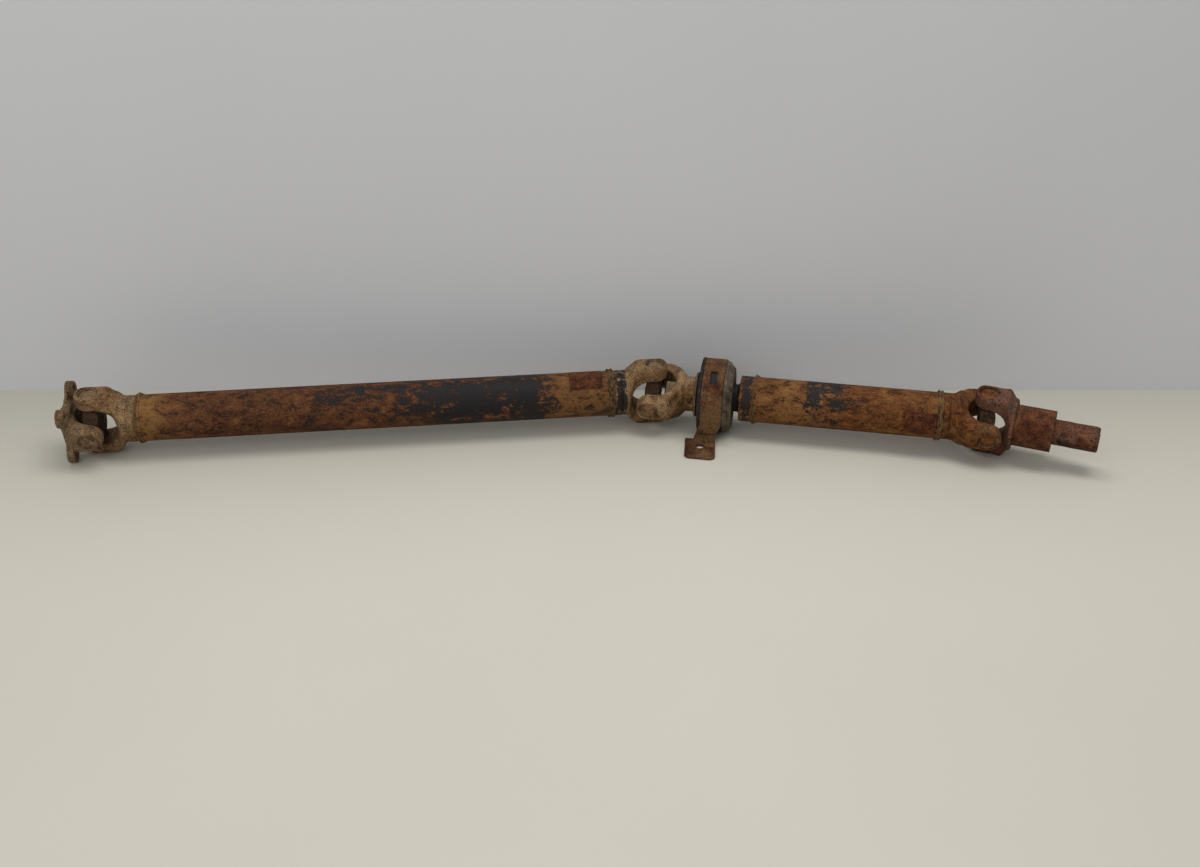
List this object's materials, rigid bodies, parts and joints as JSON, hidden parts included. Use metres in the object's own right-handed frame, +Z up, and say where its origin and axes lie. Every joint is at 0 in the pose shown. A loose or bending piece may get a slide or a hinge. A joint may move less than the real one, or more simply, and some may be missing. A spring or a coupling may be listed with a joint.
{
  "type": "two-piece propeller shaft",
  "caption": "Two-piece propeller shaft with cross joints, a rubber-mounted centre bearing in a strap bracket, a lobed flange yoke and a splined slip yoke with a dust sleeve.",
  "frame": {"origin": "midway between the bracket's two bolt holes, on the underside of its feet", "axes": "+X along the front shaft towards the slip yoke, +Z up from the bracket's feet, +Y away from the camera side"},
  "size_m": [1.4065, 0.3996, 0.1092],
  "materials": {
    "rusty_forging": "rusty, pitted",
    "rusty_tube": "worn black paint over rust",
    "dusty_flange": "grey-brown, dusty",
    "worn_cup": "dull, stained",
    "spring_steel": "stained",
    "weight_steel": "rusty",
    "rusty_bracket": "rusty brown",
    "grey_shell": "dull grey, stained",
    "cushion_rubber": "matt",
    "bearing_steel": "ground",
    "red_brown_forging": "rusty"
  },
  "bodies": {
    "bearing_support": {"bearing_bracket": "rusty_bracket", "cushion_shell": "grey_shell", "rubber_cushion": "cushion_rubber", "bearing_carrier": "grey_shell", "bearing_outer_race": "bearing_steel"},
    "front_shaft": {"stub_shaft": "rusty_forging", "centre_yoke": "rusty_forging", "centre_yoke_nut": "worn_cup", "centre_yoke_washer": "spring_steel", "aft_dust_deflector": "grey_shell", "fore_dust_deflector": "grey_shell", "bearing_inner_race": "bearing_steel", "front_tube": "rusty_tube", "front_aft_balance_weight": "weight_steel", "front_fore_balance_weight": "weight_steel", "front_tube_yoke": "rusty_forging", "front_shaft_cups": "worn_cup", "front_shaft_circlips": "spring_steel"},
    "centre_cross": {"centre_joint_cross": "bearing_steel"},
    "rear_shaft": {"rear_tube": "rusty_tube", "rear_tube_yokes": "rusty_forging", "rear_balance_weight": "weight_steel", "rear_shaft_cups": "worn_cup", "rear_shaft_circlips": "spring_steel"},
    "rear_cross": {"rear_joint_cross": "bearing_steel"},
    "rear_flange": {"rear_flange_yoke": "dusty_flange", "flange_cups": "worn_cup", "flange_circlips": "spring_steel"},
    "front_cross": {"front_joint_cross": "bearing_steel"},
    "slip_yoke_body": {"slip_yoke": "red_brown_forging", "slip_yoke_plug": "spring_steel", "slip_dust_sleeve": "rusty_bracket", "slip_yoke_cups": "worn_cup", "slip_yoke_circlips": "spring_steel"}
  },
  "joints": [
    {"name": "bearing_spin", "type": "hinge", "parent": "bearing_support", "child": "front_shaft", "pos_m": [0.011, 0, 0.04991], "axis": [1, 0, 0], "continuous": true},
    {"name": "centre_joint_front_pin", "type": "hinge", "parent": "front_shaft", "child": "centre_cross", "pos_m": [-0.078, 0, 0.04991], "axis": [0, -0.9767, -0.2146], "range_deg": [-20.04, 27.96]},
    {"name": "centre_joint_rear_pin", "type": "hinge", "parent": "centre_cross", "child": "rear_shaft", "pos_m": [-0.078, 0, 0.04991], "axis": [0.0691, -0.2141, 0.9744], "range_deg": [-41.47, 6.53]},
    {"name": "rear_joint_tube_pin", "type": "hinge", "parent": "rear_shaft", "child": "rear_cross", "pos_m": [-0.8212, -0.24005, 0.04991], "axis": [0.0691, -0.2141, 0.9744], "range_deg": [-14, 14]},
    {"name": "rear_joint_flange_pin", "type": "hinge", "parent": "rear_cross", "child": "rear_flange", "pos_m": [-0.8212, -0.24005, 0.04991], "axis": [0.2995, -0.9272, -0.225], "range_deg": [-14, 14]},
    {"name": "front_joint_tube_pin", "type": "hinge", "parent": "front_shaft", "child": "front_cross", "pos_m": [0.388, 0, 0.04991], "axis": [0, -0.9767, -0.2146], "range_deg": [-22.84, 17.16]},
    {"name": "front_joint_slip_pin", "type": "hinge", "parent": "front_cross", "child": "slip_yoke_body", "pos_m": [0.388, 0, 0.04991], "axis": [-0.0495, -0.2143, 0.9755], "range_deg": [-7.31, 32.69]}
  ]
}
